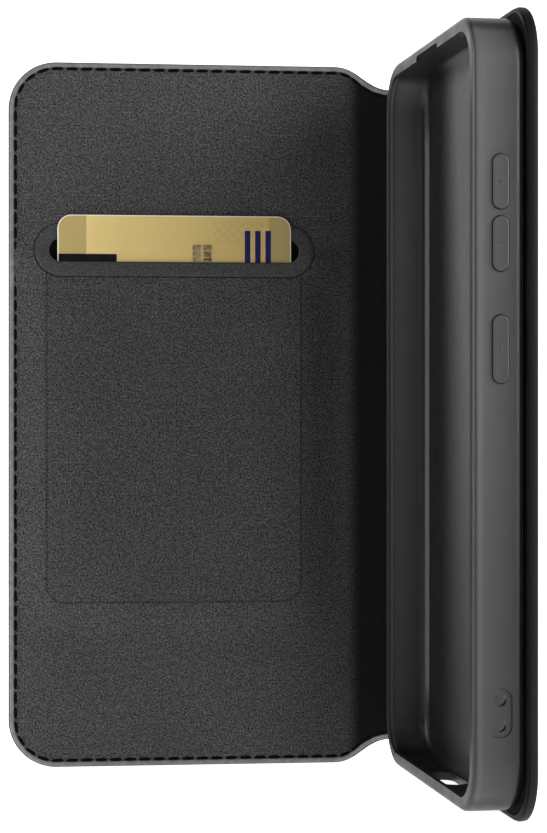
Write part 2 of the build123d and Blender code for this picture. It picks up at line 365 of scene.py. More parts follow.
class NodeBench:
    """Lays out one material's nodes."""

    def __init__(self, name: str) -> None:
        """Starts a material with its shader.

        Args:
            name: The material's name.
        """
        self.material = bpy.data.materials.new(name)
        self.material.use_nodes = True
        self.tree = self.material.node_tree
        self.shader = self.tree.nodes["Principled BSDF"]

    def add(self, kind: str, **settings: Any) -> bpy.types.Node:
        """Adds a node.

        Args:
            kind: The node's type.
            settings: Its properties.

        Returns:
            The node.
        """
        node = self.tree.nodes.new(kind)
        for key, value in settings.items():
            setattr(node, key, value)
        return node

    def feed(self, socket: bpy.types.NodeSocket, value: Any) -> None:
        """Links an output to a socket, or sets the socket's value.

        Args:
            socket: The input.
            value: An output socket, a number or a colour.
        """
        if isinstance(value, bpy.types.NodeSocket):
            self.tree.links.new(value, socket)
        else:
            socket.default_value = value

    def place(self, uv: bool, stretch: Colour = (1.0, 1.0, 1.0)) -> bpy.types.NodeSocket:
        """Coordinates that stay with the piece.

        Args:
            uv: True for the flat UV map, False for Object coordinates.
            stretch: Scale along each axis.

        Returns:
            The coordinates.
        """
        texture = self.add("ShaderNodeTexCoord")
        mapping = self.add("ShaderNodeMapping")
        mapping.inputs["Scale"].default_value = stretch
        self.feed(mapping.inputs["Vector"], texture.outputs["UV" if uv else "Object"])
        return mapping.outputs["Vector"]

    def noise(
        self,
        where: bpy.types.NodeSocket,
        scale: float,
        detail: float = 2.0,
        roughness: float = 0.5,
    ) -> bpy.types.NodeSocket:
        """A noise pattern.

        Args:
            where: Coordinates.
            scale: Pattern scale.
            detail: Octaves.
            roughness: Weight of the fine octaves.

        Returns:
            Its strength from 0 to 1.
        """
        node = self.add("ShaderNodeTexNoise")
        self.feed(node.inputs["Vector"], where)
        self.feed(node.inputs["Scale"], scale)
        self.feed(node.inputs["Detail"], detail)
        self.feed(node.inputs["Roughness"], roughness)
        return node.outputs["Fac"]

    def cells(
        self, where: bpy.types.NodeSocket, scale: float, feature: str = "F1"
    ) -> bpy.types.NodeSocket:
        """A cell pattern.

        Args:
            where: Coordinates.
            scale: Pattern scale.
            feature: Which distance it gives.

        Returns:
            The distance.
        """
        node = self.add("ShaderNodeTexVoronoi", feature=feature)
        self.feed(node.inputs["Vector"], where)
        self.feed(node.inputs["Scale"], scale)
        return node.outputs["Distance"]

    def maths(self, operation: str, first: Any, second: Any = 0.0) -> bpy.types.NodeSocket:
        """One sum on numbers.

        Args:
            operation: The operation's name.
            first: First number or socket.
            second: Second number or socket.

        Returns:
            The result.
        """
        node = self.add("ShaderNodeMath", operation=operation)
        self.feed(node.inputs[0], first)
        self.feed(node.inputs[1], second)
        return node.outputs[0]

    def times(self, first: Any, *others: Any) -> bpy.types.NodeSocket:
        """Multiplies numbers together.

        Args:
            first: First number or socket.
            others: The rest of them.

        Returns:
            The product.
        """
        for other in others:
            first = self.maths("MULTIPLY", first, other)
        return first

    def apart(self, vector: bpy.types.NodeSocket) -> list[bpy.types.NodeSocket]:
        """Splits a vector.

        Args:
            vector: The vector.

        Returns:
            Its x, y and z.
        """
        node = self.add("ShaderNodeSeparateXYZ")
        self.feed(node.inputs[0], vector)
        return list(node.outputs)

    def remap(
        self,
        value: bpy.types.NodeSocket,
        from_low: float,
        from_high: float,
        to_low: float = 0.0,
        to_high: float = 1.0,
        soft: bool = True,
    ) -> bpy.types.NodeSocket:
        """Moves a range of values to another.

        Args:
            value: The value.
            from_low: Start of the range.
            from_high: End of the range.
            to_low: What the start becomes.
            to_high: What the end becomes.
            soft: True for a soft step.

        Returns:
            The new value.
        """
        node = self.add(
            "ShaderNodeMapRange", interpolation_type="SMOOTHSTEP" if soft else "LINEAR"
        )
        for name, number in (
            ("Value", value),
            ("From Min", from_low),
            ("From Max", from_high),
            ("To Min", to_low),
            ("To Max", to_high),
        ):
            self.feed(node.inputs[name], number)
        return node.outputs["Result"]

    def blend(self, share: Any, first: Any, second: Any, how: str = "MIX") -> bpy.types.NodeSocket:
        """Mixes two colours.

        Args:
            share: How much of the second.
            first: First colour.
            second: Second colour.
            how: Blend type.

        Returns:
            The mixed colour.
        """
        node = self.add("ShaderNodeMix", data_type="RGBA", blend_type=how)
        self.feed(node.inputs[0], share)
        for socket, value in ((node.inputs[6], first), (node.inputs[7], second)):
            self.feed(socket, (*value, 1.0) if isinstance(value, tuple) else value)
        return node.outputs[2]

    def attribute(self, name: str) -> bpy.types.NodeSocket:
        """A number kept on the mesh.

        Args:
            name: The attribute's name.

        Returns:
            Its value.
        """
        node = self.add("ShaderNodeAttribute", attribute_name=name)
        return node.outputs["Fac"]

    def off_oblong(
        self,
        flat: bpy.types.NodeSocket,
        centre: tuple[float, float],
        size: tuple[float, float],
        corner: float,
    ) -> bpy.types.NodeSocket:
        """Distance outside a round-cornered outline, less than 0 inside it.

        Args:
            flat: The flat UV coordinates.
            centre: The outline's middle, in millimetres.
            size: Its width and height.
            corner: Its corner radius.

        Returns:
            The distance, in millimetres.
        """
        past, inner = [], []
        for place, middle, width in zip(self.apart(flat), centre, size):
            off = self.maths("SUBTRACT", self.times(place, UV_MM), middle)
            off = self.maths("SUBTRACT", self.maths("ABSOLUTE", off), width / 2 - corner)
            past.append(self.maths("MAXIMUM", off, 0.0))
            inner.append(off)
        square = [self.times(value, value) for value in past]
        round_part = self.maths("SQRT", self.maths("ADD", square[0], square[1]))
        flat_part = self.maths("MINIMUM", self.maths("MAXIMUM", inner[0], inner[1]), 0.0)
        return self.maths("SUBTRACT", self.maths("ADD", round_part, flat_part), corner)

    def raise_by(self, height: bpy.types.NodeSocket, strength: float, distance: float) -> None:
        """Adds a bump on top of those added before.

        Args:
            height: The relief.
            strength: How strong it is.
            distance: How tall it is, in metres.
        """
        bump = self.add("ShaderNodeBump")
        self.feed(bump.inputs["Height"], height)
        self.feed(bump.inputs["Strength"], strength)
        self.feed(bump.inputs["Distance"], distance)
        normal = self.shader.inputs["Normal"]
        if normal.is_linked:
            self.feed(bump.inputs["Normal"], normal.links[0].from_socket)
        self.feed(normal, bump.outputs["Normal"])

    def coat(self, **sockets: Any) -> None:
        """Sets or links the shader's sockets by name, with _ for a space."""
        for name, value in sockets.items():
            label = name.replace("_", " ")
            colour = isinstance(value, tuple) and len(value) == 3
            self.feed(self.shader.inputs[label], (*value, 1.0) if colour else value)


@dataclass(frozen=True)
class LeatherFinish:
    """Near-black fine-grained leather."""

    name: str = "cover_leather"
    low: Colour = (0.0045, 0.0045, 0.0048)
    high: Colour = (0.0095, 0.0095, 0.0100)
    grain: float = 95.0
    specular: float = 0.16

    def material(self) -> bpy.types.Material:
        """Builds the material.

        Returns:
            The material.
        """
        bench = NodeBench(self.name)
        flat = bench.place(uv=True)
        tone = bench.noise(flat, 14.0, 4.0, 0.6)
        pebble = bench.cells(flat, self.grain, "SMOOTH_F1")
        fine = bench.noise(flat, self.grain * 3.0, 3.0, 0.6)
        bench.coat(
            Base_Color=bench.blend(tone, self.low, self.high),
            Roughness=bench.remap(tone, 0.3, 0.7, 0.50, 0.62),
            Specular_IOR_Level=self.specular,
        )
        bench.raise_by(pebble, 0.35, 0.00012)
        bench.raise_by(fine, 0.2, 0.00005)
        return bench.material


@dataclass(frozen=True)
class LiningFinish:
    """Dark grey brushed microfibre, pressed smooth along its stitched rim, with painted light in its colour: a
    paler rim, partly its own tone and partly a painted highlight, and painted shade towards the spine.
    """

    name: str = "lining"
    low: Colour = (0.006, 0.0061, 0.0063)
    high: Colour = (0.172, 0.173, 0.176)
    # rim is the pressed rim's tone outside the stitches: partly its own paler tone, partly a painted highlight; a
    # near-black rim is painted shade.
    rim: Colour = (0.215, 0.217, 0.221)
    rim_end: float = 1.22
    rim_soft: float = 0.16
    # spine_shade and fold_shade paint shade: the cloth darkens to a near-black tone towards the spine, where the
    # tray shades it; each gives a start, an end and a strength along the cover.
    spine_shade: tuple[float, float, float] = (-46.0, -19.0, 0.38)
    fold_shade: tuple[float, float, float] = (-22.5, -17.5, 0.90)
    fold_shade_tone: Colour = (0.001, 0.001, 0.0011)
    ring: bool = False
    groove: tuple[float, float] = (0.34, 0.46)
    groove_tone: Colour = (0.006, 0.006, 0.006)
    seam_centre: tuple[float, float] = (-61.8, -2.65)
    seam_size: tuple[float, float] = (58.8, 81.1)
    seam_corner: float = 4.0
    seam_reach: tuple[float, float] = (0.08, 0.42)
    seam_top: tuple[float, float] = (36.5, 37.5)

    def material(self) -> bpy.types.Material:
        """Builds the material.

        Returns:
            The material.
        """
        bench = NodeBench(self.name)
        flat = bench.place(uv=True)
        fibre = bench.noise(flat, 250.0, 3.0, 0.65)
        nap = bench.noise(flat, 70.0, 3.0, 0.6)
        cloud = bench.noise(flat, 6.0, 2.0, 0.5)
        speck = bench.remap(fibre, 0.34, 0.70, soft=False)
        cloth = bench.blend(speck, self.low, self.high)
        cloth = bench.blend(bench.remap(nap, 0.3, 0.7, 0.0, 0.30), cloth, self.low)
        cloth = bench.blend(bench.remap(cloud, 0.3, 0.7, 0.0, 0.10), cloth, self.low)
        edge = bench.attribute("edge")
        if self.ring:
            inside = bench.remap(edge, *self.groove)
            tone = bench.blend(inside, self.groove_tone, cloth)
            smooth = bench.remap(nap, 0.0, 1.0, 0.55, 0.75)
            strength = bench.remap(nap, 0.0, 1.0, 0.5, 0.8)
        else:
            away = self.off_seam(bench, flat)
            cloth = bench.blend(bench.remap(away, 0.0, 1.0, 0.62, 1.0), self.low, cloth)
            # Painted shade: darker towards the spine, at full strength past its end.
            along = bench.apart(flat)[0]
            for start, end, most in (self.spine_shade, self.fold_shade):
                painted_shade = bench.remap(along, start / UV_MM, end / UV_MM, 0.0, most)
                cloth = bench.blend(painted_shade, cloth, self.fold_shade_tone)
            # The rim tone near the edge: partly the pressed edge's own, partly painted light.
            inside = bench.remap(edge, self.rim_end - self.rim_soft, self.rim_end + self.rim_soft)
            rim = bench.blend(bench.remap(nap, 0.35, 0.65, 0.0, 0.25), self.rim, self.low)
            tone = bench.blend(inside, rim, cloth)
            smooth = bench.remap(inside, 0.0, 1.0, 0.5, 0.92, soft=False)
            strength = bench.times(bench.remap(inside, 0.0, 1.0, 0.12, 1.0), away)
        bench.coat(Base_Color=tone, Roughness=smooth, Specular_IOR_Level=0.08)
        bench.raise_by(bench.times(fibre, strength), 0.7, 0.00020)
        return bench.material

    def off_seam(self, bench: NodeBench, flat: bpy.types.NodeSocket) -> bpy.types.NodeSocket:
        """How clear of the pocket's pressed seam a place is.

        Args:
            bench: The material's bench.
            flat: The flat UV coordinates.

        Returns:
            0 on the seam and 1 away from it.
        """
        off = bench.off_oblong(flat, self.seam_centre, self.seam_size, self.seam_corner)
        away = bench.remap(bench.maths("ABSOLUTE", off), *self.seam_reach)
        return bench.maths("MAXIMUM", away, bench.remap(bench.attribute("flat_z"), *self.seam_top))


@dataclass(frozen=True)
class ThreadFinish:
    """Black waxed thread, twisted."""

    name: str = "thread"
    low: Colour = (0.0008, 0.0008, 0.0008)
    high: Colour = (0.0028, 0.0028, 0.0028)

    def material(self) -> bpy.types.Material:
        """Builds the material.

        Returns:
            The material.
        """
        bench = NodeBench(self.name)
        flat = bench.place(uv=True)
        twist = bench.noise(flat, 420.0, 2.0, 0.5)
        bench.coat(
            Base_Color=bench.blend(twist, self.low, self.high),
            Roughness=bench.remap(twist, 0.3, 0.7, 0.6, 0.8),
            Specular_IOR_Level=0.06,
        )
        bench.raise_by(twist, 0.3, 0.00008)
        return bench.material


@dataclass(frozen=True)
class RubberFinish:
    """Soft moulded shell with a satin skin and painted light in its colour: paler towards the front lip and the
    top, darker towards the back, the ends and the bottom, with painted highlights on the lip, the back edge and
    the floor's fillet, and a floor painted darker towards the far wall.
    """

    name: str
    roughness: float = 0.40
    texture: float = 2600.0
    specular: float = 0.32
    # deep and pale are the two ends of the painted light and shade; the fields below place it on the tray.
    deep: Colour = (0.0035, 0.0035, 0.0037)
    pale: Colour = (0.108, 0.109, 0.112)
    near: Vector = field(default_factory=lambda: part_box("tray_shell")[1])
    far: Vector = field(default_factory=lambda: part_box("tray_shell")[0])
    lip_rise: tuple[float, float] = (0.0003, 0.0011)
    lip_fall: tuple[float, float] = (0.0013, 0.0025)
    back_turn: tuple[float, float] = (0.0022, 0.0014)
    back_line: tuple[float, float] = (0.00055, 0.0003)
    end_walls: tuple[float, float] = (0.0745, 0.0768)
    outer_skin: tuple[float, float] = (0.003, 0.001)
    fillet_rise: tuple[float, float] = (0.0020, 0.0027)
    fillet_fall: tuple[float, float] = (0.0035, 0.0042)
    fillet_end: tuple[float, float] = (0.020, 0.0115)
    wall: float = 0.0015
    corner_cut: float = 0.0083
    floor_depth: tuple[float, float] = (0.0030, 0.0020)

    def material(self) -> bpy.types.Material:
        """Builds the material.

        Returns:
            The material.
        """
        bench = NodeBench(self.name)
        where = bench.place(uv=False)
        tone = bench.noise(where, 35.0, 3.0, 0.5)
        skin = bench.noise(where, self.texture, 2.0, 0.6)
        mould = bench.noise(where, 240.0, 3.0, 0.55)
        # Painted light and shade by place, with a faint random tone.
        share = bench.times(self.painted_light(bench, where), bench.remap(tone, 0.3, 0.7, 0.94, 1.0))
        low, high = self.roughness - 0.03, self.roughness + 0.05
        bench.coat(
            Base_Color=bench.blend(share, self.deep, self.pale),
            Roughness=bench.remap(mould, 0.3, 0.7, low, high),
            Specular_IOR_Level=self.specular,
        )
        bench.raise_by(skin, 0.10, 0.00003)
        return bench.material

    def painted_light(self, bench: NodeBench, where: bpy.types.NodeSocket) -> bpy.types.NodeSocket:
        """How much painted light the skin gets, by place on the tray.

        Args:
            bench: The material's bench.
            where: Object coordinates.

        Returns:
            The share of the pale tone.
        """
        x, y, z = bench.apart(where)
        tall = bench.maths("ABSOLUTE", z)
        # Painted shade: darker towards the bottom, paler towards the top.
        high = bench.remap(z, self.far.z, self.near.z, 0.46, 1.12, soft=False)
        deep, shallow = (self.near.y - depth for depth in self.floor_depth)
        inner = bench.times(bench.remap(y, deep, shallow), self.inside(bench, x, tall))
        outer = bench.maths("SUBTRACT", 1.0, inner)
        wall = bench.times(self.wall_painted_light(bench, x, y, tall), high, outer)
        return bench.maths("ADD", wall, bench.times(self.floor_painted_light(bench, x, tall, high), inner))

    def wall_painted_light(
        self,
        bench: NodeBench,
        x: bpy.types.NodeSocket,
        y: bpy.types.NodeSocket,
        tall: bpy.types.NodeSocket,
    ) -> bpy.types.NodeSocket:
        """The painted light and shade on the walls.

        Args:
            bench: The material's bench.
            x: Place across the tray.
            y: Place along the tray's depth.
            tall: Height from the middle.

        Returns:
            The share, before it fades downwards.
        """
        front, back = self.far.y, self.near.y
        rise, fall = self.lip_rise, self.lip_fall
        # Painted light: paler towards the front lip, a painted highlight just behind the lip's edge and painted
        # shade before the back edge.
        wall = bench.times(
            bench.remap(y, front, back, 1.10, 0.22, soft=False),
            bench.remap(x, self.far.x, 0.0, 1.15, 1.0),
            bench.remap(y, front + rise[0], front + rise[1], 0.30, 1.30),
            bench.remap(y, front + fall[0], front + fall[1], 1.0, 0.77),
            bench.remap(y, back - self.back_turn[0], back - self.back_turn[1], 1.0, 0.30),
        )
        # Painted highlight: a bright line along the back edge.
        start, end = (back - depth for depth in self.back_line)
        wall = bench.maths("ADD", wall, bench.remap(y, start, end, 0.0, 1.3))
        # Painted shade on the end walls, but not on the outer wall.
        ends = bench.remap(tall, *self.end_walls, 1.0, 0.22)
        start, end = (self.near.x - depth for depth in self.outer_skin)
        return bench.times(wall, bench.maths("MAXIMUM", ends, bench.remap(x, start, end)))

    def floor_painted_light(
        self,
        bench: NodeBench,
        x: bpy.types.NodeSocket,
        tall: bpy.types.NodeSocket,
        high: bpy.types.NodeSocket,
    ) -> bpy.types.NodeSocket:
        """The painted light on the floor, darker towards the far wall, and the painted highlight on its fillet.

        Args:
            bench: The material's bench.
            x: Place across the tray.
            tall: Height from the middle.
            high: The fade downwards.

        Returns:
            The share.
        """
        edge, top = self.far.x, self.near.z
        # Painted shade: the floor darkens towards the far wall and the bottom.
        floor = bench.times(bench.remap(x, edge + 0.013, 0.003, 0.01, 1.55), high, high)
        # Painted highlight along the floor's fillet.
        fillet = bench.times(
            bench.remap(x, edge + self.fillet_rise[0], edge + self.fillet_rise[1], 0.0, 1.3),
            bench.remap(x, edge + self.fillet_fall[0], edge + self.fillet_fall[1], 1.0, 0.0),
            bench.remap(tall, top - self.fillet_end[0], top - self.fillet_end[1], 1.0, 0.25),
        )
        return bench.maths("MAXIMUM", floor, fillet)

    def inside(
        self, bench: NodeBench, x: bpy.types.NodeSocket, tall: bpy.types.NodeSocket
    ) -> bpy.types.NodeSocket:
        """Whether a place lies within the tray's walls.

        Args:
            bench: The material's bench.
            x: Place across the tray.
            tall: Height from the middle.

        Returns:
            1 inside and 0 outside.
        """
        side = bench.maths("ABSOLUTE", x)
        reach = self.near.x + self.near.z - self.corner_cut
        return bench.times(
            bench.maths("LESS_THAN", side, self.near.x - self.wall),
            bench.maths("LESS_THAN", tall, self.near.z - self.wall),
            bench.maths("LESS_THAN", bench.maths("ADD", side, tall), reach),
        )


@dataclass(frozen=True)
class BoardFinish:
    """Grey pulp board."""

    name: str = "board"
    low: Colour = (0.20, 0.185, 0.165)
    high: Colour = (0.34, 0.32, 0.29)

    def material(self) -> bpy.types.Material:
        """Builds the material.

        Returns:
            The material.
        """
        bench = NodeBench(self.name)
        where = bench.place(uv=False)
        fibre = bench.noise(where, 900.0, 5.0, 0.7)
        fleck = bench.noise(where, 160.0, 2.0, 0.5)
        tone = bench.blend(bench.remap(fibre, 0.35, 0.65), self.low, self.high)
        bench.coat(
            Base_Color=bench.blend(bench.remap(fleck, 0.62, 0.72, 0.0, 0.4), tone, self.low),
            Roughness=bench.remap(fibre, 0.3, 0.7, 0.85, 0.95),
        )
        bench.raise_by(fibre, 0.3, 0.00008)
        return bench.material


@dataclass(frozen=True)
class GlueFinish:
    """Thin grey bonding film."""

    name: str = "adhesive"
    low: Colour = (0.10, 0.10, 0.10)
    high: Colour = (0.15, 0.15, 0.155)

    def material(self) -> bpy.types.Material:
        """Builds the material.

        Returns:
            The material.
        """
        bench = NodeBench(self.name)
        where = bench.place(uv=False)
        tone = bench.noise(where, 220.0, 4.0, 0.6)
        bench.coat(
            Base_Color=bench.blend(bench.remap(tone, 0.3, 0.7), self.low, self.high),
            Roughness=bench.remap(tone, 0.3, 0.7, 0.45, 0.65),
        )
        bench.raise_by(tone, 0.2, 0.00004)
        return bench.material


@dataclass(frozen=True)
class MetalFinish:
    """Bare or plated metal with fine brush lines."""

    name: str
    low: Colour
    high: Colour
    roughness: float
    brush: Colour = (60.0, 60.0, 2400.0)

    def material(self) -> bpy.types.Material:
        """Builds the material.

        Returns:
            The material.
        """
        bench = NodeBench(self.name)
        lines = bench.noise(bench.place(uv=False, stretch=self.brush), 1.0, 3.0, 0.6)
        bench.coat(
            Base_Color=bench.blend(bench.remap(lines, 0.3, 0.7), self.low, self.high),
            Roughness=bench.remap(lines, 0.3, 0.7, self.roughness, self.roughness + 0.15),
            Metallic=1.0,
        )
        bench.raise_by(lines, 0.12, 0.00002)
        return bench.material


@dataclass(frozen=True)
class StripeFinish:
    """Dark matte stripe on the card's back."""

    name: str = "card_stripe"
    low: Colour = (0.012, 0.010, 0.009)
    high: Colour = (0.030, 0.026, 0.022)

    def material(self) -> bpy.types.Material:
        """Builds the material.

        Returns:
            The material.
        """
        bench = NodeBench(self.name)
        streak = bench.noise(bench.place(uv=False, stretch=(900.0, 900.0, 40.0)), 1.0, 3.0, 0.6)
        bench.coat(
            Base_Color=bench.blend(streak, self.low, self.high),
            Roughness=bench.remap(streak, 0.3, 0.7, 0.38, 0.5),
        )
        bench.raise_by(streak, 0.08, 0.00002)
        return bench.material


@dataclass(frozen=True)
class CardFinish:
    """Glossy gold print with plain bands and blocks, in the card's flat place."""

    middle: tuple[float, float]
    size: tuple[float, float]
    name: str = "card"
    corner: float = 3.18
    pale: Colour = (0.84, 0.66, 0.27)
    deep: Colour = (0.66, 0.48, 0.175)
    olive: Colour = (0.50, 0.385, 0.155)
    core: Colour = (0.95, 0.90, 0.78)
    black: Colour = (0.006, 0.006, 0.006)
    blue: Colour = (0.015, 0.018, 0.11)
    left_band: tuple[float, float] = (0.0, 6.6)
    right_band: tuple[float, float] = (48.8, 60.0)
    tile_across: tuple[float, float] = (36.0, 47.5)
    tile_down: tuple[float, float] = (1.2, 6.2)
    block_across: tuple[float, float] = (-1.0, 13.6)
    block_down: tuple[float, float] = (9.0, 24.0)
    bars: tuple[float, ...] = (43.2, 45.6, 48.0)
    bar_width: float = 1.3
    bar_down: tuple[float, float] = (3.4, 30.0)

    def material(self) -> bpy.types.Material:
        """Builds the material.

        Returns:
            The material.
        """
        bench = NodeBench(self.name)
        flat = bench.place(uv=True)
        along, up, _ = bench.apart(flat)
        left = (self.middle[0] - self.size[0] / 2) / UV_MM
        top = (self.middle[1] + self.size[1] / 2) / UV_MM
        across = bench.times(bench.maths("SUBTRACT", along, left), UV_MM)
        down = bench.times(bench.maths("SUBTRACT", top, up), UV_MM)
        glow = bench.remap(across, 0.0, self.size[0], 0.0, 1.0, soft=False)
        gold = bench.blend(glow, self.pale, self.deep)
        cloud = bench.noise(flat, 9.0, 3.0, 0.5)
        gold = bench.blend(bench.remap(cloud, 0.3, 0.7, 0.0, 0.35), gold, self.deep)
        for band in (self.left_band, self.right_band):
            gold = bench.blend(self.window(bench, across, *band), gold, self.olive)
        tiles = bench.add("ShaderNodeTexChecker")
        bench.feed(tiles.inputs["Vector"], flat)
        bench.feed(tiles.inputs["Scale"], 90.0)
        spot = self.patch(bench, across, self.tile_across, down, self.tile_down)
        tiled = bench.times(spot, tiles.outputs["Fac"], 0.30)
        gold = bench.blend(tiled, gold, self.olive)
        block = self.patch(bench, across, self.block_across, down, self.block_down)
        gold = bench.blend(block, gold, self.black)
        for bar in self.bars:
            span = (bar, bar + self.bar_width)
            stroke = self.patch(bench, across, span, down, self.bar_down)
            gold = bench.blend(stroke, gold, self.blue)
        off = bench.off_oblong(flat, self.middle, self.size, self.corner)
        gold = bench.blend(bench.remap(off, -0.30, -0.20), gold, self.core)
        bench.coat(
            Base_Color=gold,
            Roughness=bench.remap(cloud, 0.3, 0.7, 0.42, 0.50),
            Specular_IOR_Level=0.10,
        )
        bench.raise_by(bench.noise(flat, 500.0, 2.0, 0.5), 0.05, 0.00002)
        return bench.material

    def window(
        self, bench: NodeBench, value: bpy.types.NodeSocket, low: float, high: float
    ) -> bpy.types.NodeSocket:
        """1 between two positions and 0 outside them.

        Args:
            bench: The material's bench.
            value: The position.
            low: Where it starts.
            high: Where it ends.

        Returns:
            The share.
        """
        after = bench.maths("GREATER_THAN", value, low)
        return bench.times(after, bench.maths("LESS_THAN", value, high))

    def patch(
        self,
        bench: NodeBench,
        across: bpy.types.NodeSocket,
        columns: tuple[float, float],
        down: bpy.types.NodeSocket,
        rows: tuple[float, float],
    ) -> bpy.types.NodeSocket:
        """1 in an upright oblong and 0 outside it.

        Args:
            bench: The material's bench.
            across: Distance from the card's left edge.
            columns: Where the oblong starts and ends across.
            down: Distance from the card's top edge.
            rows: Where it starts and ends down.

        Returns:
            The share.
        """
        wide = self.window(bench, across, *columns)
        return bench.times(wide, self.window(bench, down, *rows))


@dataclass(frozen=True)
class StudioFinish:
    """Plain pale floor and backdrop, whose far part glows: painted light that fades out towards the object."""

    name: str = "studio_floor"
    low: Colour = (0.90, 0.90, 0.90)
    high: Colour = (0.94, 0.94, 0.94)
    glow: float = 0.95
    glow_end: tuple[float, float] = (0.02, 0.14)

    def material(self) -> bpy.types.Material:
        """Builds the material.

        Returns:
            The material.
        """
        bench = NodeBench(self.name)
        where = bench.place(uv=False)
        tone = bench.noise(where, 3.0, 2.0, 0.5)
        # Painted light: the far floor and backdrop glow, fading out towards the object.
        glow = bench.remap(bench.apart(where)[0], *self.glow_end, self.glow, 0.0)
        bench.coat(
            Base_Color=bench.blend(tone, self.low, self.high),
            Roughness=0.9,
            Emission_Color=(1.0, 1.0, 1.0),
            Emission_Strength=glow,
        )
        return bench.material


# ---------------------------------------------------------------- flat cover


@dataclass(frozen=True)
class Fold:
    """One fold line: its place on the flat cover and in the frame."""

    u: float
    x: float
    y: float
    before: float
    after: float
    reach: float = 2.6
    depth: float = 0.4

    def straight(self, u: float, n: float, heading: float) -> tuple[float, float]:
        """A point on the flat stretch beside the fold.

        Args:
            u: Place along the cover.
            n: Depth from the outer face.
            heading: The stretch's heading in degrees.

        Returns:
            The point's x and y, in millimetres.
        """
        angle = math.radians(heading)
        run, lift = u - self.u, n - self.depth
        x = self.x + run * math.cos(angle) + lift * math.sin(angle)
        return x, self.y + run * math.sin(angle) - lift * math.cos(angle)

    def bent(self, u: float, n: float) -> tuple[float, float]:
        """A point on the rounded stretch at the fold.

        Args:
            u: Place along the cover.
            n: Depth from the outer face.

        Returns:
            The point's x and y, in millimetres.
        """
        turn = self.before - self.after
        radius = self.reach / math.tan(math.radians(turn / 2))
        start_x, start_y = self.straight(self.u - self.reach, self.depth, self.before)
        angle = math.radians(self.before)
        middle_x = start_x + radius * math.sin(angle)
        middle_y = start_y - radius * math.cos(angle)
        share = (u - self.u + self.reach) / (2 * self.reach)
        angle = math.radians(self.before - turn * share)
        arm = radius - (n - self.depth)
        return middle_x - arm * math.sin(angle), middle_y + arm * math.cos(angle)


@dataclass(frozen=True)
class CoverPath:
    """Folds the flat cover into its place in the frame."""

    spine_width: float = 20.0
    heading_front: float = 86.0
    heading_back: float = 0.0
    near: Fold = field(init=False)
    far: Fold = field(init=False)

    def __post_init__(self) -> None:
        """Reads both fold lines from the frame's hinges."""
        spots = {j["name"]: j["pos_m"] for j in frame["joints"] if j["type"] == "hinge"}
        back, front = spots["spine_fold"], spots["flap_fold"]
        heading = math.degrees(math.atan2(back[1] - front[1], back[0] - front[0]))
        near = Fold(0.0, back[0] / MM, back[1] / MM, heading, self.heading_back)
        far = Fold(-self.spine_width, front[0] / MM, front[1] / MM, self.heading_front, heading)
        object.__setattr__(self, "near", near)
        object.__setattr__(self, "far", far)

    def point(self, u: float, z: float, n: float) -> Vector:
        """Where a place on the flat cover lies.

        Args:
            u: Place along the cover.
            z: Height.
            n: Depth from the outer face.

        Returns:
            The point, in metres.
        """
        if u > self.near.u + self.near.reach:
            x, y = self.near.straight(u, n, self.near.after)
        elif u > self.near.u - self.near.reach:
            x, y = self.near.bent(u, n)
        elif u > self.far.u + self.far.reach:
            x, y = self.near.straight(u, n, self.near.before)
        elif u > self.far.u - self.far.reach:
            x, y = self.far.bent(u, n)
        else:
            x, y = self.far.straight(u, n, self.far.before)
        return Vector((x * MM, y * MM, z * MM))

    def wrap(self, bm: bmesh.types.BMesh) -> None:
        """Moves a flat mesh into the frame.

        Args:
            bm: The mesh, in flat millimetres.
        """
        for vert in bm.verts:
            vert.co = self.point(*vert.co)

    def bend(self, made: bpy.types.Object, half: Half) -> None:
        """Lets a piece bend at its half's fold.

        Args:
            made: The piece, in its final shape.
            half: The half of the cover it belongs to.
        """
        fold = self.near if half is Half.BACK else self.far
        outer = "back" if half is Half.BACK else "flap"
        away = fold.reach if half is Half.BACK else -fold.reach
        start = self.point(fold.u + away, 0.0, 1.0)
        end = self.point(fold.u - away, 0.0, 1.0)
        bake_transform(made, outer, "spine", start=start, end=end)


